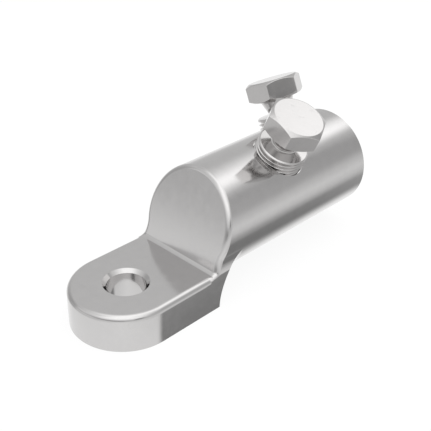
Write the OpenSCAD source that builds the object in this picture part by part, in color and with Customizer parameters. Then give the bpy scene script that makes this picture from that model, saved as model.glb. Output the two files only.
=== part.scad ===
// Mechanical cable lug with two shear bolts.
// The lug is one aluminium piece: a flat palm with a stud hole, a leaning step and a round barrel
// with a blind bore for the conductor. Two shear bolts stand in a V on top of the barrel and screw
// down through its wall on to the conductor.
// X runs along the barrel towards its mouth, Z is up, and the origin is the middle of the stud
// hole on the underside of the palm. Lengths are in millimetres and angles in degrees.

/* [Palm] */
// Width of the palm and of the foot behind it
palm_w = 36.5; // [33:0.5:37.5]
// Thickness of the palm
palm_t = 13; // [9:0.5:15]
// From the middle of the stud hole to the tip of the round nose
nose_reach = 19; // [18:0.5:30]
// Diameter of the hole for the stud
stud_d = 13; // [8.4:0.1:17]
// Width of the chamfer round the top of the stud hole
stud_chamfer = 1.2; // [0.3:0.1:2]
// From the middle of the stud hole to the foot of the step, on top of the palm
step_x = 22.5; // [20:0.5:30]
// How far the face of the step leans back from upright
step_lean = 19; // [5:1:30]
// Radius of the hollow between the top of the palm and the step
root_r = 1.5; // [1:0.1:3]
// Radius of the rounded edge round the palm and the face of the step
edge_r = 2; // [1:0.1:2.5]

/* [Barrel] */
// Outer diameter of the barrel
barrel_d = 37.5; // [37:0.5:44]
// Height of the barrel's axis above the underside of the palm
axis_h = 23.4; // [22:0.1:27]
// From the middle of the stud hole to the mouth of the barrel
mouth_x = 102; // [98:1:130]
// Where the turned part of the barrel becomes straight, from the middle of the stud hole
turned_x = 35.5; // [34:0.5:42]
// Radius of the hollow that turning leaves behind the foot
turned_r = 11; // [6:0.5:12]
// Radius of the hollow between the side of the foot and the barrel
web_r = 10; // [6:0.5:14]
// Width of the broken edge round the outside of the mouth
mouth_chamfer = 0.6; // [0.2:0.1:1.5]
// Diameter of the bore for the conductor
bore_d = 25; // [18:0.5:27]
// Depth of the bore, without its drill point
bore_depth = 54; // [52:1:60]
// Angle of the drill point at the bottom of the bore
drill_point = 118; // [90:1:150]
// Width of the lead-in chamfer at the mouth of the bore
bore_lead = 1; // [0.3:0.1:2]

/* [Shear bolts] */
// Lean of each bolt from upright, one to each side
bolt_lean = 24.5; // [20:0.5:28]
// From the middle of the stud hole to the axis of the first bolt
first_bolt_x = 64; // [62:0.5:70]
// From the axis of the first bolt to that of the second, along the barrel
bolt_gap = 20; // [19:0.5:22]
// Outer diameter of the thread
thread_d = 18; // [16:0.5:18.5]
// Pitch of the thread
thread_pitch = 1.5; // [1:0.25:2]
// Length of the threaded part, from its top to the tip
thread_len = 9.3; // [8:0.1:10]
// How far the top of the thread stands above the crown of the barrel
rim_stand = 3.3; // [0:0.1:6]
// Width of the broken edge at the tip
tip_chamfer = 1; // [0.5:0.1:2]
// Width of the broken edge round the top of the thread
rim_w = 0.45; // [0.2:0.05:0.8]
// Diameter of the neck at the crease, where the head shears off
crease_d = 8.2; // [6:0.1:10]
// Height of the crease above the top of the thread
crease_h = 0.3; // [0:0.1:1]
// Diameter of the neck under the head
neck_d = 12.8; // [10.5:0.1:14]
// Height of the underside of the head above the top of the thread
head_lift = 6.05; // [4:0.05:9]
// Width across the flats of the head
head_af = 18.5; // [16:0.5:19]
// Height of the head
head_h = 7.2; // [5:0.1:9]
// Diameter of the round flat that the chamfers leave on the top and underside of the head
head_flat_d = 17.6; // [15:0.1:18.2]
// Angle between those chamfers and the ends of the head
head_chamfer_angle = 30; // [20:1:40]

/* [Bolt holes] */
// Gap between the thread and the hole, all round
thread_clear = 0.08; // [0.05:0.01:0.1]
// Gap between the thread and the wider entry of the hole, all round
entry_clear = 0.45; // [0.3:0.05:0.8]
// Depth of the wider entry below the crown of the barrel
entry_depth = 3.2; // [3:0.1:3.8]

/* [Hidden] */
$fn = 96;
barrel_r = barrel_d / 2;
bore_r = bore_d / 2;
palm_half = palm_w / 2;
nose_x = palm_half - nose_reach;
bore_end_x = mouth_x - bore_depth;
thread_r = thread_d / 2;
bolt_x = [first_bolt_x, first_bolt_x + bolt_gap];
bolt_side = [-1, 1];
rim_level = barrel_r + rim_stand;
root_angle = 90 - step_lean;
root_tangent = root_r * tan(root_angle / 2);
root_x = step_x - root_tangent;
// Neighbouring curved faces overlap by this much, so that they cross instead of only touching
cross = 0.02;
// How far a cutting shape runs past what it cuts
past = 5;
// Steps of the rounded edge: degrees of outline, and faces across the round
outline_step = 6;
round_steps = 5;
// How far the rounded edge's cutting shape stands outside the metal
round_past = 0.5;

// The hollow beside the foot is an arc that starts at the palm's upper corner and ends tangent
// to the barrel. Its centre is barrel_r + web_r from the barrel's axis and web_r from the corner.
corner_in = [palm_half, palm_t - axis_h];
corner_far = norm(corner_in);
web_far = barrel_r + web_r - cross;
web_along = (pow(web_far, 2) - pow(web_r, 2) + pow(corner_far, 2)) / (2 * corner_far);
web_aside = sqrt(pow(web_far, 2) - pow(web_along, 2));
corner_dir = corner_in / corner_far;
web_centre = web_along * corner_dir + web_aside * [-corner_dir[1], corner_dir[0]] + [0, axis_h];
web_to_corner = [palm_half, palm_t] - web_centre;
web_start = atan2(web_to_corner[1], -web_to_corner[0]);
web_meet = atan2(web_centre[1] - axis_h, web_centre[0]);

// Cross-section of the foot under the barrel, with the hollow on each side.
module foot_section() {
    translate([-palm_half, 0]) square([palm_w, palm_t]);
    for (side = [0, 1]) mirror([side, 0]) difference() {
        polygon([[0, axis_h], web_centre, [palm_half, palm_t], [0, palm_t]]);
        translate(web_centre) circle(r = web_r);
    }
}

// Turning removes all that lies outside the barrel, up to a hollow behind the foot.
module turned_away() {
    arc_y = barrel_r + turned_r - cross;
    translate([0, 0, axis_h]) rotate([0, 90, 0]) rotate_extrude() {
        translate([arc_y, turned_x]) circle(r = turned_r);
        translate([arc_y, turned_x - turned_r]) square([axis_h, turned_r + past]);
        translate([barrel_r - cross, turned_x]) square([turned_r + past, past]);
    }
}

// Space over the palm and in front of the leaning step, with the hollow at its root.
module space_before_step() {
    top = axis_h + barrel_r + past;
    lean_x = (top - palm_t) * tan(step_lean);
    root_up = root_tangent * [sin(step_lean), cos(step_lean)];
    rotate([90, 0, 0]) linear_extrude(height = palm_w + barrel_d, center = true) difference() {
        polygon([
            [nose_x - palm_half - past, palm_t], [step_x, palm_t],
            [step_x + lean_x, top], [nose_x - palm_half - past, top]
        ]);
        difference() {
            polygon([
                [step_x, palm_t] + [-root_tangent, -past], [step_x + past, palm_t - past],
                [step_x, palm_t] + root_up + [past, 0], [step_x, palm_t] + root_up,
                [root_x, palm_t + root_r]
            ]);
            translate([root_x, palm_t + root_r]) circle(r = root_r);
        }
    }
}

// One stop of the rounded edge: a point of the sharp edge, with the upward and sideways normals
// of the two faces that meet there.
function stop_at(edge, face_n, side_n) = [edge, face_n, side_n];
function face_x(z) = step_x + (z - palm_t) * tan(step_lean);
function smooth(t) = t * t * (3 - 2 * t);

// Half of the outline of the palm and step, from the nose over one side to the crown.
up = [0, 0, 1];
lean_n = [-cos(step_lean), 0, sin(step_lean)];
turn_in = 1.5;
nose_stops = [for (a = [0 : outline_step : 90 - outline_step])
    stop_at([nose_x - palm_half * cos(a), palm_half * sin(a), palm_t], up, [-cos(a), sin(a), 0])];
side_stops = [for (x = [nose_x, root_x - turn_in - edge_r])
    stop_at([x, palm_half, palm_t], up, [0, 1, 0])];
corner_stops = [for (t = [0.25, 0.5, 0.75])
    let (tilt = -web_start * smooth(t))
    stop_at([root_x - turn_in * (1 - t), palm_half, palm_t], up, [0, cos(tilt), sin(tilt)])];
function web_stop(z) =
    let (a = asin((z - web_centre[1]) / web_r), b = acos(max(1 - (z - palm_t) / root_r, cos(root_angle))))
    stop_at([b < root_angle ? root_x + root_r * sin(b) : face_x(z), web_centre[0] - web_r * cos(a), z],
        [-sin(b), 0, cos(b)], [0, cos(a), -sin(a)]);
root_top = palm_t + root_r * (1 - cos(root_angle));
web_top = web_centre[1] - web_r * sin(web_meet);
web_stops = [
    for (t = [0 : 0.2 : 1]) web_stop(palm_t + root_r * (1 - cos(t * root_angle))),
    for (t = [0.2 : 0.2 : 0.8]) web_stop(root_top + t * (web_top - root_top))
];
arch_stops = [for (a = [web_meet : outline_step : 90 - outline_step / 2])
    let (z = axis_h + barrel_r * sin(a))
    stop_at([face_x(z), barrel_r * cos(a), z], lean_n, [0, cos(a), sin(a)])];
half_stops = concat(nose_stops, side_stops, corner_stops, web_stops, arch_stops);
crown_stop = stop_at([face_x(axis_h + barrel_r), 0, axis_h + barrel_r], lean_n, up);

function mirrored(s) = [for (v = s) [v[0], -v[1], v[2]]];
other_half = [for (i = [len(half_stops) - 1 : -1 : 1]) mirrored(half_stops[i])];
round_stops = concat(half_stops, [crown_stop], other_half);

// Section of the cutting shape at one stop: the round from one face to the other, then three
// corners outside the metal.
function round_section(s) =
    let (n1 = s[1], n2 = s[2], both = (n1 + n2) / (1 + n1 * n2))
    let (centre = s[0] - (edge_r - cross) * both, span = acos(n1 * n2))
    concat(
        [for (i = [0 : round_steps])
            let (a = span * i / round_steps)
            centre + edge_r * (sin(span - a) * n2 + sin(a) * n1) / sin(span)],
        [centre + edge_r * n1 + round_past * n1, s[0] + round_past * both,
         centre + edge_r * n2 + round_past * n2]);

// The ring that rounds the edge of the palm and the face of the step.
module edge_round() {
    rings = [for (s = round_stops) round_section(s)];
    n = len(rings);
    m = len(rings[0]);
    polyhedron(
        points = [for (ring = rings) each ring],
        faces = [for (i = [0 : n - 1], j = [0 : m - 1])
            let (k = (i + 1) % n, l = (j + 1) % m)
            each [[i * m + j, k * m + l, k * m + j], [i * m + j, i * m + l, k * m + l]]],
        convexity = 6);
}

// Stud hole with its chamfer.
module stud_hole() {
    stud_r = stud_d / 2;
    translate([0, 0, -past]) cylinder(r = stud_r, h = palm_t + 2 * past);
    translate([0, 0, palm_t - stud_chamfer])
        cylinder(r1 = stud_r, r2 = stud_r + stud_chamfer + past, h = stud_chamfer + past);
}

// Blind bore for the conductor, with a lead-in at the mouth and a drill point at its end.
module conductor_bore() {
    point_len = bore_r / tan(drill_point / 2);
    translate([bore_end_x, 0, axis_h]) rotate([0, 90, 0]) {
        cylinder(r = bore_r, h = bore_depth + past);
        translate([0, 0, -point_len]) cylinder(r1 = 0, r2 = bore_r, h = point_len);
        translate([0, 0, bore_depth - bore_lead])
            cylinder(r1 = bore_r, r2 = bore_r + bore_lead + past, h = bore_lead + past);
    }
}

// Places its children on the axis of bolt i, with Z outwards from the barrel's axis.
module on_bolt_axis(i) {
    translate([bolt_x[i], 0, axis_h]) rotate([-bolt_side[i] * bolt_lean, 0, 0]) children();
}

// Hole for one bolt, from the bore to the outside.
module bolt_hole(i) {
    on_bolt_axis(i) {
        cylinder(r = thread_r + thread_clear, h = barrel_r + past);
        translate([0, 0, barrel_r - entry_depth])
            cylinder(r = thread_r + entry_clear, h = entry_depth + past);
    }
}

// The lug: one machined piece.
module lug_body() {
    barrel_len = mouth_x - step_x;
    color("silver") difference() {
        union() {
            translate([step_x, 0, axis_h]) rotate([0, 90, 0]) {
                cylinder(r = barrel_r, h = barrel_len - mouth_chamfer);
                translate([0, 0, barrel_len - mouth_chamfer])
                    cylinder(r1 = barrel_r, r2 = barrel_r - mouth_chamfer, h = mouth_chamfer);
            }
            difference() {
                translate([nose_x, 0, 0]) rotate([90, 0, 90])
                    linear_extrude(height = turned_x - nose_x) foot_section();
                turned_away();
            }
            translate([nose_x, 0, 0]) cylinder(r = palm_half, h = palm_t);
        }
        space_before_step();
        edge_round();
        stud_hole();
        conductor_bore();
        for (i = [0, 1]) bolt_hole(i);
    }
}

// Outline of the thread on one side, from the tip upwards: one ridge for each turn.
thread_depth = 0.613 * thread_pitch;
ridge_count = floor((thread_len - tip_chamfer) / thread_pitch);
ridge_points = [for (i = [ridge_count - 1 : -1 : 0])
    let (top = -i * thread_pitch)
    each [
        [thread_r - thread_depth, top - thread_pitch],
        [thread_r - thread_depth, top - 0.75 * thread_pitch],
        [thread_r, top - 0.375 * thread_pitch],
        [thread_r, top - 0.25 * thread_pitch]
    ]];

// Shank of a shear bolt in section: thread, low cone and neck. Height 0 is the top of the thread.
module shank_section() {
    polygon(concat(
        [[0, -thread_len], [thread_r - tip_chamfer - thread_depth, -thread_len]],
        [[thread_r - thread_depth, tip_chamfer - thread_len]],
        ridge_points,
        [[thread_r - rim_w, 0], [crease_d / 2, crease_h], [neck_d / 2, head_lift]],
        [[neck_d / 2, head_lift + head_h / 2], [0, head_lift + head_h / 2]]));
}

// Hexagonal head with a chamfer at both ends.
module head() {
    flat_r = head_flat_d / 2;
    outer_r = flat_r + past / 2;
    drop = past / 2 * tan(head_chamfer_angle);
    intersection() {
        rotate([0, 0, 30]) cylinder(r = head_af / 2 / cos(30), h = head_h, $fn = 6);
        rotate_extrude() polygon([
            [0, 0], [flat_r, 0], [outer_r, drop],
            [outer_r, head_h - drop], [flat_r, head_h], [0, head_h]
        ]);
    }
}

// One shear bolt, made in one piece.
module shear_bolt(i) {
    color("gainsboro") on_bolt_axis(i) translate([0, 0, rim_level]) union() {
        rotate_extrude() shank_section();
        translate([0, 0, head_lift]) head();
    }
}

module shear_bolt_first() { shear_bolt(0); }
module shear_bolt_second() { shear_bolt(1); }

lug_body();
shear_bolt_first();
shear_bolt_second();
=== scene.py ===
# %% [markdown]
# # A cable lug with two shear bolts
#
# The real object is one solid piece of tin plated aluminium: a flat palm with a stud hole, a step
# that leans back, and a round barrel that takes the conductor. Two shear bolts stand in a V on top
# of the barrel. This lesson loads the measured model as a frame, makes finer surfaces in its place
# and lights them as a small studio would.

# %% The measured frame
import math

import bmesh
import bpy
import numpy as np
from mathutils import Matrix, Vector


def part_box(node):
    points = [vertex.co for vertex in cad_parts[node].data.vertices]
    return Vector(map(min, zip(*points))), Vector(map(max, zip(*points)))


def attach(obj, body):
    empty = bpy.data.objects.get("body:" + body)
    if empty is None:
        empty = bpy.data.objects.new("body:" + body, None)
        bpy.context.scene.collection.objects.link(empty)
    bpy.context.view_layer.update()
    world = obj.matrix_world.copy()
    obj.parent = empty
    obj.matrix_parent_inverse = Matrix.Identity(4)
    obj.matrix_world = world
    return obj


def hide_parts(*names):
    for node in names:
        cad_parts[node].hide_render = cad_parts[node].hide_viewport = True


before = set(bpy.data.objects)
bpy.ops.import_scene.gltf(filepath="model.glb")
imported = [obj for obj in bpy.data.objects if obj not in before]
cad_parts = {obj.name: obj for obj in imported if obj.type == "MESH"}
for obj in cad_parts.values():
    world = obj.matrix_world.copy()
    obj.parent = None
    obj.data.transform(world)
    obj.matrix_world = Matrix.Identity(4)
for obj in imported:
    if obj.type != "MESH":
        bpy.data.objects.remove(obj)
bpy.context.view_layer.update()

for name in sorted(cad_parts):
    low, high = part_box(name)
    print(f"{name}: {[round(1000 * (b - a), 1) for a, b in zip(low, high)]} mm")

# %% [markdown]
# ## The camera
#
# The photograph was taken from in front of the palm, to the left, about 31 degrees above the
# horizon and from only 27 cm away, so the perspective is strong. The place and the directions
# below come from fitting the edges of the lug, and the lens follows from the same fit. A camera
# aimed by hand would do for a flat view, but here a few degrees already bend the barrel.

# %% Put the camera where the photograph was taken
CAMERA_PLACE = np.array([-0.1285, -0.1604, 0.1601])
CAMERA_FORWARD = np.array([0.6227, 0.5909, -0.5129])
CAMERA_UP = np.array([0.3531, 0.3727, 0.8581])
FOCAL_PIXELS = 785.31
PHOTO_PIXELS = 431
SENSOR_MM = 36


def unit(v):
    """Each vector divided by its length."""
    v = np.asarray(v, float)
    return v / np.linalg.norm(v, axis=-1, keepdims=True)


def matrix_of(x, y, z, place):
    """The matrix whose columns are an object's own x, y and z directions and its place."""
    columns = np.vstack([np.column_stack([x, y, z, place]), [0, 0, 0, 1]])
    return Matrix(columns.tolist())


def add_object(name, data):
    """A new object in the scene that holds a mesh, a lamp or a camera."""
    item = bpy.data.objects.new(name, data)
    bpy.context.scene.collection.objects.link(item)
    return item


def place_camera():
    """A camera's own axes are right, up and backwards; they are made square to each other."""
    forward = unit(CAMERA_FORWARD)
    right = unit(np.cross(forward, CAMERA_UP))
    up = np.cross(right, forward)
    data = bpy.data.cameras.new("photo_camera")
    data.sensor_width = SENSOR_MM
    data.lens = FOCAL_PIXELS / PHOTO_PIXELS * SENSOR_MM
    data.clip_start, data.clip_end = 0.01, 20
    camera = add_object("photo_camera", data)
    camera.matrix_world = matrix_of(right, up, -forward, CAMERA_PLACE)
    bpy.context.scene.camera = camera
    print(f"lens {data.lens:.2f} mm on a {SENSOR_MM} mm sensor")


place_camera()

# %% [markdown]
# ## Surfaces from arrays
#
# Every new surface is a grid of points, worked out as whole numpy arrays and joined by quads. A
# revolved shape and a swept section are both such grids. Lengths are kept in millimetres while the
# pieces are cut, and become metres at the end, because Booleans like numbers of ordinary size.

# %% Grids of points become closed solids
MM = 0.001
SAME_POINT = 1e-5


def row(*values):
    """Arrays or numbers, one for each coordinate, as points."""
    return np.stack(np.broadcast_arrays(*[np.asarray(v, float) for v in values]), axis=-1)


def quads(rows, columns, close_rows=False):
    """Corners of each quad between rows i and i + 1; each row closes, and the rows may too."""
    i = np.arange(rows if close_rows else rows - 1)[:, None]
    j = np.arange(columns)[None, :]
    i2, j2 = (i + 1) % rows, (j + 1) % columns
    corners = [i * columns + j, i * columns + j2, i2 * columns + j2, i2 * columns + j]
    return np.stack([c.ravel() for c in np.broadcast_arrays(*corners)], axis=-1)


def capped(rows, columns):
    """The quads between open rows, with one face over the first row and one over the last."""
    last = rows * columns - 1
    caps = [list(range(columns)), list(range(last, last - columns, -1))]
    return quads(rows, columns).tolist() + caps


def solid(name, points, faces):
    """A mesh object from points and faces: doubles at poles merged, faces turned outwards."""
    mesh = bpy.data.meshes.new(name)
    mesh.from_pydata(np.asarray(points, float).reshape(-1, 3), [], faces)
    build = bmesh.new()
    build.from_mesh(mesh)
    bmesh.ops.remove_doubles(build, verts=build.verts, dist=SAME_POINT)
    bmesh.ops.dissolve_degenerate(build, edges=build.edges, dist=SAME_POINT / 10)
    bmesh.ops.recalc_face_normals(build, faces=build.faces)
    build.to_mesh(mesh)
    build.free()
    return add_object(name, mesh)


print(f"a tube of 3 rows and 4 columns has {len(quads(3, 4))} quads")

# %% Revolved and extruded outlines


def arc(centre, radius, start, stop, count):
    """Points centre + radius (cos a, sin a) for count angles from start to stop, in degrees."""
    a = np.radians(np.linspace(start, stop, count))
    return np.stack([centre[0] + radius * np.cos(a), centre[1] + radius * np.sin(a)], axis=-1)


def around(r, angle, h):
    """Points (r cos a, r sin a, h) about the local z axis."""
    return row(r * np.cos(angle), r * np.sin(angle), h)


def in_frame(points, origin, x, y, z):
    """Local (a, b, c) goes to origin + a x + b y + c z."""
    return np.asarray(origin) + points @ np.stack([x, y, z]).astype(float)


def revolve(name, outline, columns, frame_of=None):
    """(r, h) outline turned about an axis: (r cos t, r sin t, h), then taken to a frame."""
    outline = np.asarray(outline, float)
    t = np.linspace(0, 2 * np.pi, columns, endpoint=False)[None, :]
    points = around(outline[:, :1], t, outline[:, 1:])
    points = points if frame_of is None else in_frame(points, *frame_of)
    off_axis = outline[0, 0] > 0
    return solid(name, points, quads(len(outline), columns, close_rows=off_axis))


def extrude(name, outline, low, high, order):
    """A flat outline (u, v) between two levels w; order says which of x, y, z are u, v and w."""
    outline = np.asarray(outline, float)
    points = np.empty((2, len(outline), 3))
    points[..., list(order)] = [row(*outline.T, w) for w in (low, high)]
    return solid(name, points, capped(2, len(outline)))


def combine(base, tool, operation):
    """The exact union or difference of two closed solids; the tool is used up."""
    step = base.modifiers.new("combine", "BOOLEAN")
    step.operation, step.solver, step.object = operation, "MANIFOLD", tool
    graph = bpy.context.evaluated_depsgraph_get()
    result = bpy.data.meshes.new_from_object(base.evaluated_get(graph))
    base.modifiers.clear()
    used = [base.data, tool.data]
    base.data = result
    bpy.data.objects.remove(tool)
    for mesh in used:
        bpy.data.meshes.remove(mesh)
    if not len(result.polygons):
        raise RuntimeError(f"{operation} left nothing")
    return base


quarter = arc((0, 0), 1.0, 0, 90, 9)
print(f"9 points of a quarter circle, from {quarter[0].round(2)} to {quarter[-1].round(2)}")

# %% [markdown]
# ## The lug
#
# The real lug is turned and milled from one bar. The same order works here: a revolved barrel with
# its blind bore, the foot under it whose back is turned away, and the round nose are united. All
# radii are those of the measured model. Neighbours overlap by a few thousandths of a millimetre,
# because a Boolean has trouble with surfaces that only touch.

# %% Sizes of the lug
PALM_HALF, PALM_T, NOSE_X = 18.25, 13.0, -0.75
STEP_X, STEP_LEAN, ROOT_R, EDGE_R = 22.5, math.radians(19), 1.5, 2.0
BARREL_R, AXIS_H, MOUTH_X, MOUTH_CHAMFER = 18.75, 23.4, 102.0, 0.6
TURNED_X, TURNED_R, WEB_R = 35.5, 11.0, 10.0
BORE_R, BORE_END_X, BORE_LEAD, DRILL_HALF = 12.5, 48.0, 1.0, math.radians(59)
CROSS = 0.004
CLEAR = 5.0
ROUND_COLUMNS = 288
BARREL_FRAME = ([0, 0, AXIS_H], [0, 1, 0], [0, 0, 1], [1, 0, 0])

ROOT_ANGLE = math.pi / 2 - STEP_LEAN
ROOT_X = STEP_X - ROOT_R * math.tan(ROOT_ANGLE / 2)
ROOT_TOP = PALM_T + ROOT_R * (1 - math.cos(ROOT_ANGLE))
DRILL_TIP_X = BORE_END_X - BORE_R / math.tan(DRILL_HALF)
print(f"the root of the step starts at x = {ROOT_X:.2f} and the drill's tip is at {DRILL_TIP_X:.2f} mm")

# %% [markdown]
# ## The hollow beside the foot
#
# On each side of the foot a concave hollow runs from the palm's corner into the barrel. One circle
# makes it: it passes through the corner and touches the barrel from outside. Its centre is where
# two larger circles cross, which is worked out once, so that the edge round can use it too.

# %% Where the hollow beside the foot lies


def web_circle():
    """Centre of the hollow beside the foot: WEB_R from the palm's corner and from the barrel."""
    corner = np.array([PALM_HALF, PALM_T - AXIS_H])
    far, reach = np.linalg.norm(corner), BARREL_R + WEB_R - CROSS
    along = (reach ** 2 - WEB_R ** 2 + far ** 2) / (2 * far)
    aside = math.sqrt(reach ** 2 - along ** 2)
    way = corner / far
    return along * way + aside * np.array([-way[1], way[0]]) + [0, AXIS_H]


WEB_CENTRE = web_circle()
WEB_START = math.degrees(math.atan2(PALM_T - WEB_CENTRE[1], WEB_CENTRE[0] - PALM_HALF))
WEB_MEET = math.degrees(math.atan2(WEB_CENTRE[1] - AXIS_H, WEB_CENTRE[0]))
print(f"hollow starts at {WEB_START:.1f} degrees and meets the barrel at {WEB_MEET:.1f} degrees")

# %% Barrel, foot and nose


def barrel():
    """The outline goes from the axis over the outside and the mouth to the drill point's tip."""
    outline = [
        [0, STEP_X], [BARREL_R, STEP_X], [BARREL_R, MOUTH_X - MOUTH_CHAMFER],
        [BARREL_R - MOUTH_CHAMFER, MOUTH_X], [BORE_R + BORE_LEAD, MOUTH_X],
        [BORE_R, MOUTH_X - BORE_LEAD], [BORE_R, BORE_END_X], [0, DRILL_TIP_X],
    ]
    return revolve("lug", outline, ROUND_COLUMNS, BARREL_FRAME)


def foot():
    """Cross-section (y, z): a block with an arc on each side that runs into the barrel."""
    side = arc(WEB_CENTRE, WEB_R, 180 - WEB_START, 180 + WEB_MEET, 24)
    side[0] = [PALM_HALF, PALM_T]
    half = np.vstack([[PALM_HALF, 0], side])
    outline = np.vstack([half, [[0, AXIS_H]], half[::-1] * [-1, 1]])
    return extrude("foot", outline, NOSE_X, TURNED_X, (1, 2, 0))


def turned_away():
    """Everything outside the barrel's radius, back to the quarter round hollow behind the foot."""
    centre = (TURNED_X, BARREL_R + TURNED_R - CROSS)
    hollow = arc(centre, TURNED_R, 180, 270, 36)[:, ::-1]
    behind, outside = TURNED_X + CLEAR, 60
    beyond = [[BARREL_R - CROSS, behind], [outside, behind], [outside, TURNED_X - TURNED_R]]
    return revolve("turned_away", np.vstack([hollow, beyond]), ROUND_COLUMNS, BARREL_FRAME)


def nose():
    """A round disc as thick as the palm."""
    outline = [[0, 0], [PALM_HALF, 0], [PALM_HALF, PALM_T], [0, PALM_T]]
    return revolve("nose", outline, 180, ([NOSE_X, 0, 0], [1, 0, 0], [0, 1, 0], [0, 0, 1]))


blank_foot = combine(foot(), turned_away(), "DIFFERENCE")
lug = combine(combine(barrel(), blank_foot, "UNION"), nose(), "UNION")
print(f"blank: {len(lug.data.polygons)} faces")

# %% [markdown]
# ## The rounded edge
#
# One band runs round the palm, up through the hollow at the root of the step, over the hollow
# beside the foot and round the arch. A bevel would stumble where these meet. Instead each stop of
# the edge knows its point and the two normals there, and the round lies between them.

# %% Stops along the palm


def face_x(z):
    """The leaning face: x grows by tan(lean) for each unit of height."""
    return STEP_X + (z - PALM_T) * math.tan(STEP_LEAN)


def palm_stops(step=2.0, turn_in=1.5):
    """Round the nose, along the side, and a short stretch where the side normal tilts inwards."""
    a = np.radians(np.arange(0, 90, step))
    x = np.linspace(NOSE_X, ROOT_X - turn_in - EDGE_R, 4)
    t = np.linspace(0, 1, 9)[1:-1]
    tilt = -np.radians(WEB_START) * t * t * (3 - 2 * t)
    edge = np.vstack([
        row(NOSE_X - PALM_HALF * np.cos(a), PALM_HALF * np.sin(a), PALM_T),
        row(x, PALM_HALF, PALM_T), row(ROOT_X - turn_in * (1 - t), PALM_HALF, PALM_T)])
    side = np.vstack([
        row(-np.cos(a), np.sin(a), 0), row(0 * x, 1, 0), row(0, np.cos(tilt), np.sin(tilt))])
    return edge, np.broadcast_to([0.0, 0, 1], edge.shape), side


print(f"palm: {len(palm_stops()[0])} stops")

# %% Stops up the hollow and round the arch


def web_top():
    """Height at which the hollow beside the foot runs into the barrel."""
    return WEB_CENTRE[1] - WEB_R * math.sin(math.radians(WEB_MEET))


def web_stops(in_root=17, on_face=12):
    """Up the root hollow by its angle b, then up the leaning face to where the barrel begins."""
    b = np.linspace(0, ROOT_ANGLE, in_root)
    face_z = np.linspace(ROOT_TOP, web_top(), on_face + 2)[1:-1]
    z = np.concatenate([PALM_T + ROOT_R * (1 - np.cos(b)), face_z])
    b = np.concatenate([b, np.full(on_face, ROOT_ANGLE)])
    a = np.arcsin((z - WEB_CENTRE[1]) / WEB_R)
    x = np.where(b < ROOT_ANGLE, ROOT_X + ROOT_R * np.sin(b), face_x(z))
    edge = row(x, WEB_CENTRE[0] - WEB_R * np.cos(a), z)
    return edge, row(-np.sin(b), 0, np.cos(b)), row(0, np.cos(a), -np.sin(a))


def arch_stops(step=2.0):
    """Along the barrel's outline on the leaning face, up to the crown."""
    a = np.radians(np.append(np.arange(WEB_MEET, 90 - step / 2, step), 90.0))
    z = AXIS_H + BARREL_R * np.sin(a)
    edge = row(face_x(z), BARREL_R * np.cos(a), z)
    lean = np.array([-math.cos(STEP_LEAN), 0, math.sin(STEP_LEAN)])
    return edge, np.broadcast_to(lean, edge.shape), row(0, np.cos(a), np.sin(a))


def whole_edge():
    """Half of the outline, then its mirror image in y back to the start."""
    edge, face_n, side_n = (np.vstack(p) for p in zip(palm_stops(), web_stops(), arch_stops()))
    back = [p[-2:0:-1] * [1, -1, 1] for p in (edge, face_n, side_n)]
    return [np.vstack(p) for p in zip((edge, face_n, side_n), back)]


print(f"whole edge: {len(whole_edge()[0])} stops")

# %% [markdown]
# ## Milling the step and rounding the edge
#
# The space before the step is milled off first, with the small hollow at its root left in. Then a
# closed ring is taken away all along the edge. The ring's inner side is the wanted round, so one
# exact difference rounds the whole band at once.

# %% Mill the step and round the edge


def space_before_step(far=30):
    """Outline (x, z) over the palm: the palm's top, the arc of the root and the leaning face."""
    root = arc((ROOT_X, PALM_T + ROOT_R), ROOT_R, -90, -90 + math.degrees(ROOT_ANGLE), 17)
    root[0] = [ROOT_X, PALM_T]
    top = AXIS_H + BARREL_R + CLEAR
    outline = np.vstack([[[-far, PALM_T]], root, [[face_x(top), top], [-far, top]]])
    return extrude("space_before_step", outline, -far, far, (0, 2, 1))


def round_ring(steps=12, outside=0.5):
    """Sections: centre + r (sin(s - a) n2 + sin(a) n1) / sin s, then three corners in the open."""
    edge, n1, n2 = whole_edge()
    dot = np.sum(n1 * n2, axis=-1, keepdims=True)
    both = (n1 + n2) / (1 + dot)
    centre, span = edge - (EDGE_R - CROSS) * both, np.arccos(dot)
    part = np.linspace(0, 1, steps + 1)[None, :, None]
    centre, n1, n2, both, edge, span = (v[:, None] for v in (centre, n1, n2, both, edge, span))
    between_normals = (np.sin(span * (1 - part)) * n2 + np.sin(span * part) * n1) / np.sin(span)
    open_r = EDGE_R + outside
    corners = [centre + open_r * n1, edge + outside * both, centre + open_r * n2]
    rings = np.concatenate([centre + EDGE_R * between_normals, *corners], axis=1)
    return solid("edge_ring", rings, quads(*rings.shape[:2], close_rows=True))


lug = combine(lug, space_before_step(), "DIFFERENCE")
lug = combine(lug, round_ring(), "DIFFERENCE")
print(f"after milling and rounding: {len(lug.data.polygons)} faces")

# %% [markdown]
# ## Holes
#
# The stud hole has a plain chamfer. Each bolt hole is drilled square to the barrel's axis, leaning
# to one side, with a wider entry near the outside that shows as a dark crescent round the thread.
# Both are revolved tools that are taken away, as a drill and a countersink would do it.

# %% Stud hole and bolt holes
STUD_R, STUD_CHAMFER = 6.5, 1.2
BOLT_LEAN = math.radians(24.5)
BOLT_X, BOLT_SIDE = (64.0, 84.0), (-1, 1)
THREAD_R, HOLE_R, ENTRY_R, ENTRY_DEPTH = 9.0, 9.08, 9.45, 3.2
HOLE_COLUMNS = 144


def bolt_frame(i):
    """Origin on the barrel's axis; x along the barrel, z outwards along the bolt."""
    s, c = BOLT_SIDE[i] * math.sin(BOLT_LEAN), math.cos(BOLT_LEAN)
    return [BOLT_X[i], 0, AXIS_H], [1, 0, 0], [0, c, -s], [0, s, c]


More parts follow.
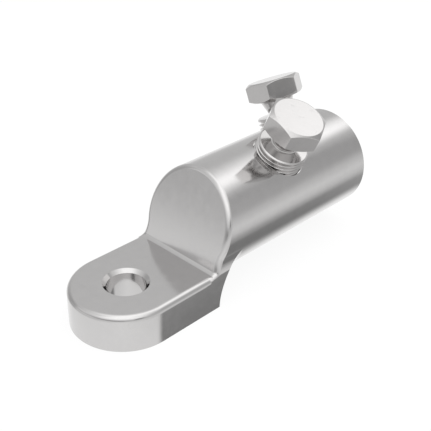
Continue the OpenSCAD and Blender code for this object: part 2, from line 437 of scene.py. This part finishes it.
def stud_hole(over=3):
    """A straight bore that opens at 45 degrees over the chamfer."""
    outline = [[0, -CLEAR], [STUD_R, -CLEAR], [STUD_R, PALM_T - STUD_CHAMFER],
               [STUD_R + STUD_CHAMFER + over, PALM_T + over], [0, PALM_T + over]]
    return revolve("stud_hole", outline, HOLE_COLUMNS)


def bolt_hole(i, out=26):
    """The threaded part and the wider entry, from the bore to the outside."""
    step = BARREL_R - ENTRY_DEPTH
    outline = [[0, 0], [HOLE_R, 0], [HOLE_R, step], [ENTRY_R, step], [ENTRY_R, out], [0, out]]
    return revolve(f"bolt_hole_{i}", outline, HOLE_COLUMNS, bolt_frame(i))


for tool in (stud_hole(), bolt_hole(0), bolt_hole(1)):
    lug = combine(lug, tool, "DIFFERENCE")
print(f"lug: {len(lug.data.polygons)} faces")

# %% [markdown]
# ## The core of a shear bolt
#
# Each bolt is turned in one piece: a low cone closes the top of the thread, and a waisted neck
# stands on it, which is where the head shears off. All of that is one outline (r, h), revolved.
# The crease at the neck's foot and the corner under the head get small curves instead of a bevel,
# because the outline is where they are easiest to draw.

# %% Core of the bolts
TIP, TIP_CHAMFER = 12.75, 1.0
PITCH, THREAD_DEPTH = 1.5, 0.92
RIM, RIM_W, RIM_FLANK = 22.05, 0.45, 0.95
CREASE, CREASE_ROUND = np.array([4.1, 22.35]), 0.9
NECK_R, NECK_ROUND, HEAD_LOW, INTO_HEAD = 6.4, 1.1, 28.1, 2.0


def bolt_core(i):
    """Outline from the tip's middle up the root of the thread, over the low cone to the neck."""
    root = THREAD_R - THREAD_DEPTH
    corner, rim = np.array([THREAD_R, RIM - RIM_W]), np.array([THREAD_R - RIM_W, RIM])
    neck = np.array([NECK_R, HEAD_LOW])
    out, up = unit(rim - CREASE), unit(neck - CREASE)
    t = np.linspace(0, 1, 6)[:, None]
    head_r, head_h = NECK_R + NECK_ROUND, HEAD_LOW + INTO_HEAD
    outline = np.vstack([
        [[0, TIP], [root - TIP_CHAMFER, TIP], [root, TIP + TIP_CHAMFER], [root, RIM - RIM_FLANK]],
        corner + [[-0.03, -0.12], [0, -0.04], [-0.02, 0.04]],
        rim + [[0.03, -0.03], [-0.05, 0]],
        CREASE + CREASE_ROUND * (out * (1 - t) ** 2 + up * t ** 2),
        neck + NECK_ROUND * ([1, 0] * t ** 2 - up * (1 - t) ** 2),
        [[head_r, head_h], [0, head_h]],
    ])
    return revolve(f"core_{i}", outline, 128, bolt_frame(i))


cores = [bolt_core(i) for i in range(2)]
print(f"bolt core: {len(cores[0].data.polygons)} faces, {HEAD_LOW - CREASE[1]:.2f} mm of neck")

# %% [markdown]
# ## The thread
#
# A real thread climbs by its pitch in each turn, and the eye notices rings that don't. So a ridge
# section is carried along a helix, growing out of the root over the first half turn and running
# into the rim at the top. A Screw modifier would make the helix too, but not those two ends.

# %% Thread of the bolts
THREAD_END = math.radians(215)
RIDGE_HALF, CREST_HALF, CREST_SOFT, RIDGE_SINK = 0.6, 0.09, 0.04, 0.08
RUN_IN_TURNS, THREAD_FROM_TIP, RIM_SINK = 0.5, 0.7, 0.05


def bolt_thread(i, per_turn=96):
    """A ridge section (r, h) carried along h = pitch * turn, up to where it runs into the rim."""
    top = RIM - RIM_W - RIM_SINK
    turns = (top - TIP - THREAD_FROM_TIP) / PITCH
    t = np.linspace(-turns, 0, int(turns * per_turn))[:, None]
    foot_r = THREAD_R - THREAD_DEPTH - RIDGE_SINK
    section_r = np.array([foot_r, *THREAD_R - CREST_SOFT * np.array([1, 0, 0, 1]), foot_r])
    upper = np.array([CREST_HALF, CREST_HALF + CREST_SOFT, RIDGE_HALF])
    section_h = np.concatenate([-upper[::-1], upper])
    begin = np.clip((t + turns) / RUN_IN_TURNS, 0.03, 1)
    r = foot_r + (section_r - foot_r) * begin
    h = np.clip(top + PITCH * t + section_h * np.minimum(1, begin * 3), TIP + 0.02, RIM - RIM_W)
    points = around(r, 2 * np.pi * t + THREAD_END, h)
    return solid(f"thread_{i}", in_frame(points, *bolt_frame(i)), capped(*points.shape[:2]))


threads = [bolt_thread(i) for i in range(2)]
print(f"thread: {len(threads[0].data.polygons)} faces")

# %% [markdown]
# ## The hexagon head
#
# The head is a hexagon whose two ends are turned to a cone, which leaves the curved edges that
# every bolt head has. At each angle the outline runs from the middle over the flat, down the cone
# and along the side. Where the reach is largest, at the six corners, the cone comes down furthest,
# so the curved edges appear by themselves.

# %% Head of the bolts
HEAD_HIGH, HEAD_AF, HEAD_CORNER_R = 35.3, 18.5, 0.25
HEAD_FLAT_R, HEAD_SLOPE = 8.8, math.tan(math.radians(30))
HEAD_SOFT, HEAD_SUPPORT = 0.1, 0.05


def hexagon(across, corner_r, on_flat=12, on_corner=4):
    """Distance and angle of points round a hexagon with rounded corners, flats facing x."""
    turn = np.radians(60 * np.arange(6)[:, None] + 30)
    middle = (across / 2 - corner_r) / math.cos(math.pi / 6)
    a = turn + np.radians(np.linspace(-30, 30, on_corner))[None, :]
    corner = row(middle * np.cos(turn) + corner_r * np.cos(a),
                 middle * np.sin(turn) + corner_r * np.sin(a))
    start, stop = corner[:, -1:], np.roll(corner, -1, axis=0)[:, :1]
    part = np.linspace(0, 1, on_flat + 2)[1:-1][None, :, None]
    points = np.concatenate([corner, start + (stop - start) * part], axis=1).reshape(-1, 2)
    return np.hypot(*points.T), np.arctan2(points[:, 1], points[:, 0])


def soften(outline, width, support):
    """Each inner corner of many outlines (angle, point, rh) becomes a small curve with supports."""
    t = np.linspace(0, 1, 5)[None, :, None]
    rows = [outline[:, :1]]
    for k in range(1, outline.shape[1] - 1):
        corner = outline[:, k:k + 1]
        back, on = unit(outline[:, k - 1:k] - corner), unit(outline[:, k + 1:k + 2] - corner)
        curve = corner + width * (back * (1 - t) ** 2 + on * t ** 2)
        rows += [corner + (width + support) * back, curve, corner + (width + support) * on]
    return np.concatenate(rows + [outline[:, -1:]], axis=1)


def bolt_head(i):
    """At each angle the outline runs: middle, cone, side of the hexagon, cone, middle."""
    reach, angle = hexagon(HEAD_AF, HEAD_CORNER_R)
    drop = np.maximum(reach - HEAD_FLAT_R, 0) * HEAD_SLOPE
    middle = 0 * reach
    flat = middle + HEAD_FLAT_R
    outline = np.stack([
        row(middle, HEAD_LOW), row(flat, HEAD_LOW), row(reach, HEAD_LOW + drop),
        row(reach, HEAD_HIGH - drop), row(flat, HEAD_HIGH), row(middle, HEAD_HIGH)], axis=1)
    outline = soften(outline, HEAD_SOFT, HEAD_SUPPORT)
    points = around(outline[..., 0].T, angle, outline[..., 1].T)
    return solid(f"head_{i}", in_frame(points, *bolt_frame(i)), quads(*points.shape[:2]))


heads = [bolt_head(i) for i in range(2)]
print(f"head: {len(heads[0].data.polygons)} faces")

# %% [markdown]
# ## One piece for each bolt
#
# Core, thread and head are one piece of metal on the real bolt. Their shells overlap a little and
# are put into one mesh, which needs no Boolean, since nothing of the overlap can be seen.

# %% Join the parts of each bolt


def join_solids(name, parts):
    """Several closed shells as one mesh object."""
    joined = bmesh.new()
    for part in parts:
        joined.from_mesh(part.data)
        used = part.data
        bpy.data.objects.remove(part)
        bpy.data.meshes.remove(used)
    mesh = bpy.data.meshes.new(name)
    joined.to_mesh(mesh)
    joined.free()
    return add_object(name, mesh)


bolts = [join_solids(name, parts)
         for name, *parts in zip(("first_bolt", "second_bolt"), cores, threads, heads)]
for bolt in bolts:
    print(f"{bolt.name}: {len(bolt.data.polygons)} faces")

# %% [markdown]
# ## Shading of the surfaces
#
# Curved faces should look curved and edges crisp. Edges sharper than 30 degrees are marked, and a
# Weighted Normal modifier lets large flat faces keep their own direction next to narrow rounds.

# %% Metres, crisp edges and even shading
SHARP_FROM = math.radians(30)


def finish_surface(piece):
    """Scales the mesh to metres, marks sharp edges and evens the normals by face area."""
    mesh = piece.data
    points = np.empty(len(mesh.vertices) * 3, np.float32)
    mesh.vertices.foreach_get("co", points)
    mesh.vertices.foreach_set("co", points * MM)
    mesh.polygons.foreach_set("use_smooth", np.ones(len(mesh.polygons), bool))
    mesh.set_sharp_from_angle(angle=SHARP_FROM)
    mesh.update()
    even = piece.modifiers.new("even_normals", "WEIGHTED_NORMAL")
    even.keep_sharp = True
    even.weight = 60
    print(f"{piece.name}: {[round(v * 1000, 2) for v in piece.dimensions]} mm")


for piece in (lug, *bolts):
    finish_surface(piece)

# %% [markdown]
# ## Materials
#
# Tin plate on aluminium is a satin metal: fully metallic, a little darker than bare aluminium,
# with reflections blurred a little. Noise in Object coordinates gives it a fine grain, slow clouds
# and a few hairlines from handling. A picture could hold the same marks, but noise in Object
# coordinates needs no unwrapping and stays the same from every side.

# %% A small helper for node trees


class Nodes:
    """Adds nodes to a tree and joins them by socket name, or by number as i0, i1 and so on."""

    def __init__(self, tree):
        self.tree = tree
        tree.nodes.clear()

    def add(self, kind, settings=None, **inputs):
        node = self.tree.nodes.new(kind)
        for key, value in (settings or {}).items():
            setattr(node, key, value)
        for key, value in inputs.items():
            self.put(node, key.replace("_", " "), value)
        return node

    def put(self, node, name, value):
        by_number = name[0] == "i" and name[1:].isdigit()
        socket = node.inputs[int(name[1:]) if by_number else name]
        if isinstance(value, bpy.types.NodeSocket):
            self.tree.links.new(value, socket)
        else:
            socket.default_value = value

    def math(self, operation, a, b=0.0, c=0.0):
        return self.add("ShaderNodeMath", {"operation": operation}, i0=a, i1=b, i2=c).outputs[0]


def new_material(name):
    """A material with an empty node tree, and the helper for that tree."""
    material = bpy.data.materials.new(name)
    material.use_nodes = True
    return material, Nodes(material.node_tree)


# %% Grain, hairlines and turning marks
GRAIN, CLOUDS, SCRATCHES, TURNING = 2600.0, 320.0, 150.0, 1500.0
BORE_SKIN, MOUTH_SKIN = 0.6, 0.02


def noise(n, place, scale, detail=0.0, distortion=0.0):
    """Noise of the given scale, about 0.5 on average."""
    node = n.add("ShaderNodeTexNoise", Vector=place, Scale=scale, Detail=detail,
                 Distortion=distortion)
    return node.outputs["Fac"]


def ramp(n, value, low, high, at_low, at_high, kind="LINEAR"):
    """From at_low to at_high as the value goes from low to high, and level outside."""
    return n.add("ShaderNodeMapRange", {"interpolation_type": kind}, i0=value, i1=low, i2=high,
                 i3=at_low, i4=at_high).outputs[0]


def hairlines(n, place, width=0.016):
    """1 where a slow noise passes through one half, in patches where another noise is high."""
    off = n.math("ABSOLUTE", n.math("SUBTRACT", noise(n, place, SCRATCHES, 0.0, 1.5), 0.5))
    patch = ramp(n, noise(n, place, SCRATCHES * 1.7), 0.52, 0.6, 0.0, 1.0)
    return n.math("MULTIPLY", ramp(n, off, 0.0, width, 1.0, 0.0), patch)


def bored(n, place):
    """Mask of the bore and the mouth's face, and rings: a noise of x + r about the barrel's axis."""
    x, y, z = n.add("ShaderNodeSeparateXYZ", i0=place).outputs
    z = n.math("SUBTRACT", z, AXIS_H * MM)
    r = n.math("SQRT", n.math("ADD", n.math("MULTIPLY", y, y), n.math("MULTIPLY", z, z)))
    inside = n.math("MULTIPLY", n.math("LESS_THAN", r, (BORE_R + BORE_SKIN) * MM),
                    n.math("GREATER_THAN", x, (DRILL_TIP_X - 1) * MM))
    mask = n.math("MAXIMUM", inside, n.math("GREATER_THAN", x, (MOUTH_X - MOUTH_SKIN) * MM))
    along = n.add("ShaderNodeCombineXYZ", i0=n.math("ADD", x, r)).outputs[0]
    return mask, noise(n, along, TURNING, 2.0)


# %% Satin plated metal
SHADE_RANGE, ROUGH_RANGE = 0.07, 0.1


def plated_metal(name, tint, roughness, marks, turned=None):
    """Metal with a fine grain, slow clouds and a few hairlines; turned faces are duller, in rings."""
    material, n = new_material(name)
    place = n.add("ShaderNodeTexCoord").outputs["Object"]
    fine, cloud = noise(n, place, GRAIN, 2.0), noise(n, place, CLOUDS, 3.0)
    shade = n.math("ADD", n.math("MULTIPLY", fine, 0.5), n.math("MULTIPLY", cloud, 0.5))
    shade = n.math("SUBTRACT", shade, n.math("MULTIPLY", hairlines(n, place), marks))
    rough = n.math("ADD", n.math("MULTIPLY", cloud, ROUGH_RANGE), roughness - ROUGH_RANGE / 2)
    if turned:
        mask, rings = turned(n, place)
        shade = n.math("ADD", shade, n.math("MULTIPLY", mask, n.math("SUBTRACT", rings, 0.5)))
        rough = n.math("ADD", rough, n.math("MULTIPLY", mask, n.math("MULTIPLY", rings, 0.4)))
    dark, light = [(*(c * k for c in tint), 1.0) for k in (1 - SHADE_RANGE, 1 + SHADE_RANGE)]
    colour = n.add("ShaderNodeMix", {"data_type": "RGBA"}, Factor=shade, i6=dark, i7=light)
    bump = n.add("ShaderNodeBump", Strength=0.015, Distance=0.00002, Height=fine)
    shader = n.add("ShaderNodeBsdfPrincipled", Metallic=1.0, Roughness=rough,
                   Base_Color=colour.outputs[2], Normal=bump.outputs[0])
    n.add("ShaderNodeOutputMaterial", Surface=shader.outputs[0])
    print(f"{name}: {len(material.node_tree.nodes)} nodes")
    return material


lug_metal = plated_metal("tin_plate", (0.637, 0.628, 0.625), 0.13, 0.2, bored)
bolt_metal = plated_metal("bolt_plate", (0.608, 0.597, 0.592), 0.12, 1.1)

# %% Each piece takes its metal, rides on its body and hides the measured solid in its place
PLACES = (
    (lug, lug_metal, "lug", "lug_body", "lug_metal"),
    (bolts[0], bolt_metal, "first_bolt", "shear_bolt_first", "bolt_metal"),
    (bolts[1], bolt_metal, "second_bolt", "shear_bolt_second", "bolt_metal"),
)
for piece, metal, body, node, slot in PLACES:
    piece.data.materials.clear()
    piece.data.materials.append(metal)
    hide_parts(node)
    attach(piece, body)
    print(f"{piece.name} rides on {body} and stands for {node}")

# %% [markdown]
# ## White background
#
# The photograph has a plain white background. More light would give one too, but would burn out
# the metal. So the world is white only to the camera and in reflections, and on everything else
# it shines as a soft, plain fill.

# %% White background and soft fill
scene = bpy.context.scene
scene.view_settings.view_transform = "Standard"


def studio_world(fill):
    """White where the camera, a reflection or glass looks; the fill elsewhere."""
    world = bpy.data.worlds.new("studio")
    scene.world = world
    world.use_nodes = True
    n = Nodes(world.node_tree)
    path = n.add("ShaderNodeLightPath").outputs
    seen = n.math("MAXIMUM", path["Is Camera Ray"],
                  n.math("MAXIMUM", path["Is Glossy Ray"], path["Is Transmission Ray"]))
    sky = n.add("ShaderNodeBackground", Color=(1, 1, 1, 1),
                Strength=ramp(n, seen, 0.0, 1.0, fill, 1.0))
    n.add("ShaderNodeOutputWorld", Surface=sky.outputs[0])
    print(f"world: fill {fill}")


studio_world(0.9)

# %% [markdown]
# ## The tent
#
# A shiny object shows its surroundings, so the surroundings are part of the work. A photographer
# puts metal in a white tent and hangs pale and dark cards where a face needs a light or a dark
# reflection. The tent here is a large shell that only reflections see. Its light fades from a
# bright table to a grey wall at the horizon, and the cards lie over that, one after the other.
# Most of their levels and edges were fitted to how bright the lug's faces are in the photograph,
# in the directions that those faces reflect, so they suit the camera's own view best.

# %% Cards in the tent
WALL, TABLE, HORIZON = 0.65, 0.97, (-24, 10)
# Each card: what it is, its level, azimuth from and to, elevation from and to, and how soft its
# four edges are. Azimuth 0 is beyond the mouth, 90 the far side and -129 the camera, in degrees.
CARDS = (
    ("shaded table round the lug", 0.45, (-250, 250), (-95, -53), (5, 5, 5, 12)),
    ("pale card low at the near side", 0.77, (-102, -26), (-37, -13), (37, 6, 3, 5)),
    ("pale card low at the far left", 0.72, (92, 192), (-33, -4), (11, 37, 7, 5)),
    ("grey post at the far left", 0.5, (102, 130), (-21, 14), (10, 3, 5, 19)),
    ("strip light on the left horizon", 1.75, (115, 175), (-2, -3), (3, 9, 6, 3)),
    ("bright table beyond the mouth", 1.0, (8, 54), (-55, -2), (28, 39, 22, 5)),
    ("dark card low at the right", 0.42, (-51, -22), (-36, -23), (11, 23, 6, 6)),
    ("dark card standing at the right", 0.43, (-50, -26), (7, 37), (32, 7, 7, 7)),
    ("dark card standing at the far left", 0.47, (89, 138), (-2, 28), (24, 35, 3, 12)),
    ("large soft box over the camera", 1.42, (-198, -90), (29, 95), (45, 21, 21, 5)),
    ("soft box high at the near side", 1.25, (-108, -46), (47, 95), (12, 34, 19, 5)),
    ("soft box high at the right", 1.33, (-46, -2), (45, 85), (17, 15, 7, 14)),
    ("soft box over the mouth", 1.6, (-14, 19), (36, 95), (11, 22, 5, 5)),
    ("grey roof over the far side", 0.87, (9, 168), (48, 95), (39, 15, 21, 5)),
    ("lamp straight above", 1.5, (-250, 250), (73, 95), (5, 5, 21, 5)),
    ("small flag at the near side", 0.22, (-112, -96), (12, 25), (4, 5, 4, 8)),
    ("dark strip beside the camera", 0.38, (-184, -129), (2, 14), (28, 13, 5, 5)),
    ("grey card high at the far side", 0.66, (62, 106), (43, 61), (16, 31, 7, 8)),
    ("pale card at the far left", 0.84, (131, 160), (13, 30), (6, 8, 4, 8)),
)
# Dark card on the table, in table heights: level, x from and to, y from and to, softness of those
DARK_CARD = (0.26, (0.65, 1.59), (-1.07, -0.1), (0.16, 0.56, 0.13, 0.32))
print(f"{len(CARDS)} cards, levels {min(c[1] for c in CARDS)} to {max(c[1] for c in CARDS)}")

# %% The tent that reflections see
TENT_R = 1.6


def between(n, value, low, high, soft_low, soft_high):
    """1 between two soft edges and 0 outside them, as a product of two smooth steps."""
    rise = ramp(n, value, low - soft_low, low + soft_low, 0.0, 1.0, "SMOOTHSTEP")
    fall = ramp(n, value, high + soft_high, high - soft_high, 0.0, 1.0, "SMOOTHSTEP")
    return n.math("MULTIPLY", rise, fall)


def laid_over(n, under, level, inside):
    """under where inside is 0 and level where it is 1."""
    return n.math("ADD", under, n.math("MULTIPLY", inside, n.math("SUBTRACT", level, under)))


def card(n, az, el, azimuth, elevation, soft):
    """1 inside the card. The turn from its middle is wrapped to half a turn either way."""
    (a0, a1), (e0, e1), soft = (np.radians(v).tolist() for v in (azimuth, elevation, soft))
    turn = n.math("WRAP", n.math("SUBTRACT", az, (a0 + a1) / 2), math.pi, -math.pi)
    return n.math("MULTIPLY", between(n, turn, (a0 - a1) / 2, (a1 - a0) / 2, *soft[:2]),
                  between(n, el, e0, e1, *soft[2:]))


def card_on_table(n, x, y, z, along, across, soft):
    """1 inside a card on the table, where direction (x, y) over depth -z falls on it."""
    depth = n.math("MAXIMUM", n.math("MULTIPLY", z, -1.0), 0.02)
    inside = n.math("MULTIPLY", between(n, n.math("DIVIDE", x, depth), *along, *soft[:2]),
                    between(n, n.math("DIVIDE", y, depth), *across, *soft[2:]))
    return n.math("MULTIPLY", inside, n.math("LESS_THAN", z, 0.0))


def tent():
    """A far shell whose brightness depends on the direction in which it lies."""
    outline = arc((0, 0), TENT_R, -90, 90, 25)
    outline[[0, -1], 0] = 0
    shell = revolve("tent", outline, 48)
    material, n = new_material("tent_cards")
    place = n.add("ShaderNodeTexCoord").outputs["Object"]
    way = n.add("ShaderNodeVectorMath", {"operation": "NORMALIZE"}, i0=place).outputs[0]
    x, y, z = n.add("ShaderNodeSeparateXYZ", i0=way).outputs
    az, el = n.math("ARCTAN2", y, x), n.math("ARCSINE", z)
    light = ramp(n, el, *np.radians(HORIZON).tolist(), TABLE, WALL, "SMOOTHSTEP")
    for _, level, *place_of in CARDS:
        light = laid_over(n, light, level, card(n, az, el, *place_of))
    level, *place_of = DARK_CARD
    light = laid_over(n, light, level, card_on_table(n, x, y, z, *place_of))
    glow = n.add("ShaderNodeEmission", Strength=light)
    n.add("ShaderNodeOutputMaterial", Surface=glow.outputs[0])
    shell.data.materials.append(material)
    shell.visible_camera = shell.visible_diffuse = shell.visible_shadow = False
    shell.visible_transmission = False
    print(f"tent: {len(material.node_tree.nodes)} nodes")


tent()

# %% [markdown]
# ## Soft box and table
#
# One wide soft box hangs over the lug, shifted to the near side. The metal takes nearly all its
# light from the tent, so this box is there for the faint shadow on the table. The table is white
# to the camera, except for a small share that is really lit and keeps that shadow.

# %% The soft box and the table
LUG_MIDDLE = np.array([0.04, 0, 0.025])
TABLE_HALF = 3.0


def soft_box(name, height, x, y, level):
    """An area lamp facing down. Power is level * pi * area, so level 1 shows white as white."""
    data = bpy.data.lights.new(name, "AREA")
    data.shape, data.size, data.size_y = "RECTANGLE", x[1] - x[0], y[1] - y[0]
    data.energy = level * math.pi * data.size * data.size_y
    lamp = add_object(name, data)
    lamp.location = LUG_MIDDLE + [sum(x) / 2, sum(y) / 2, height]
    lamp.visible_camera = lamp.visible_glossy = False
    print(f"{name}: {data.size:.2f} by {data.size_y:.2f} m, {data.energy:.2f} W")


def table(shadow):
    """White to the camera, apart from a faint shadow; reflections see the tent's table instead."""
    top = bpy.data.meshes.new("table")
    corners = TABLE_HALF * np.array([[-1, -1, 0], [1, -1, 0], [1, 1, 0], [-1, 1, 0]])
    top.from_pydata(corners, [], [(0, 1, 2, 3)])
    sheet = add_object("table", top)
    material, n = new_material("white_table")
    lit = n.add("ShaderNodeBsdfDiffuse", Color=(0.97, 0.97, 0.97, 1))
    white = n.add("ShaderNodeEmission", Strength=1.0)
    camera_ray = n.add("ShaderNodeLightPath").outputs["Is Camera Ray"]
    share = n.math("MULTIPLY", camera_ray, 1 - shadow)
    mix = n.add("ShaderNodeMixShader", i0=share, i1=lit.outputs[0], i2=white.outputs[0])
    n.add("ShaderNodeOutputMaterial", Surface=mix.outputs[0])
    top.materials.append(material)
    sheet.visible_glossy = sheet.visible_transmission = False


soft_box("roof_box", 1.0, (-0.95, 1.17), (-0.95, 0.3), 1.2)
table(0.1)
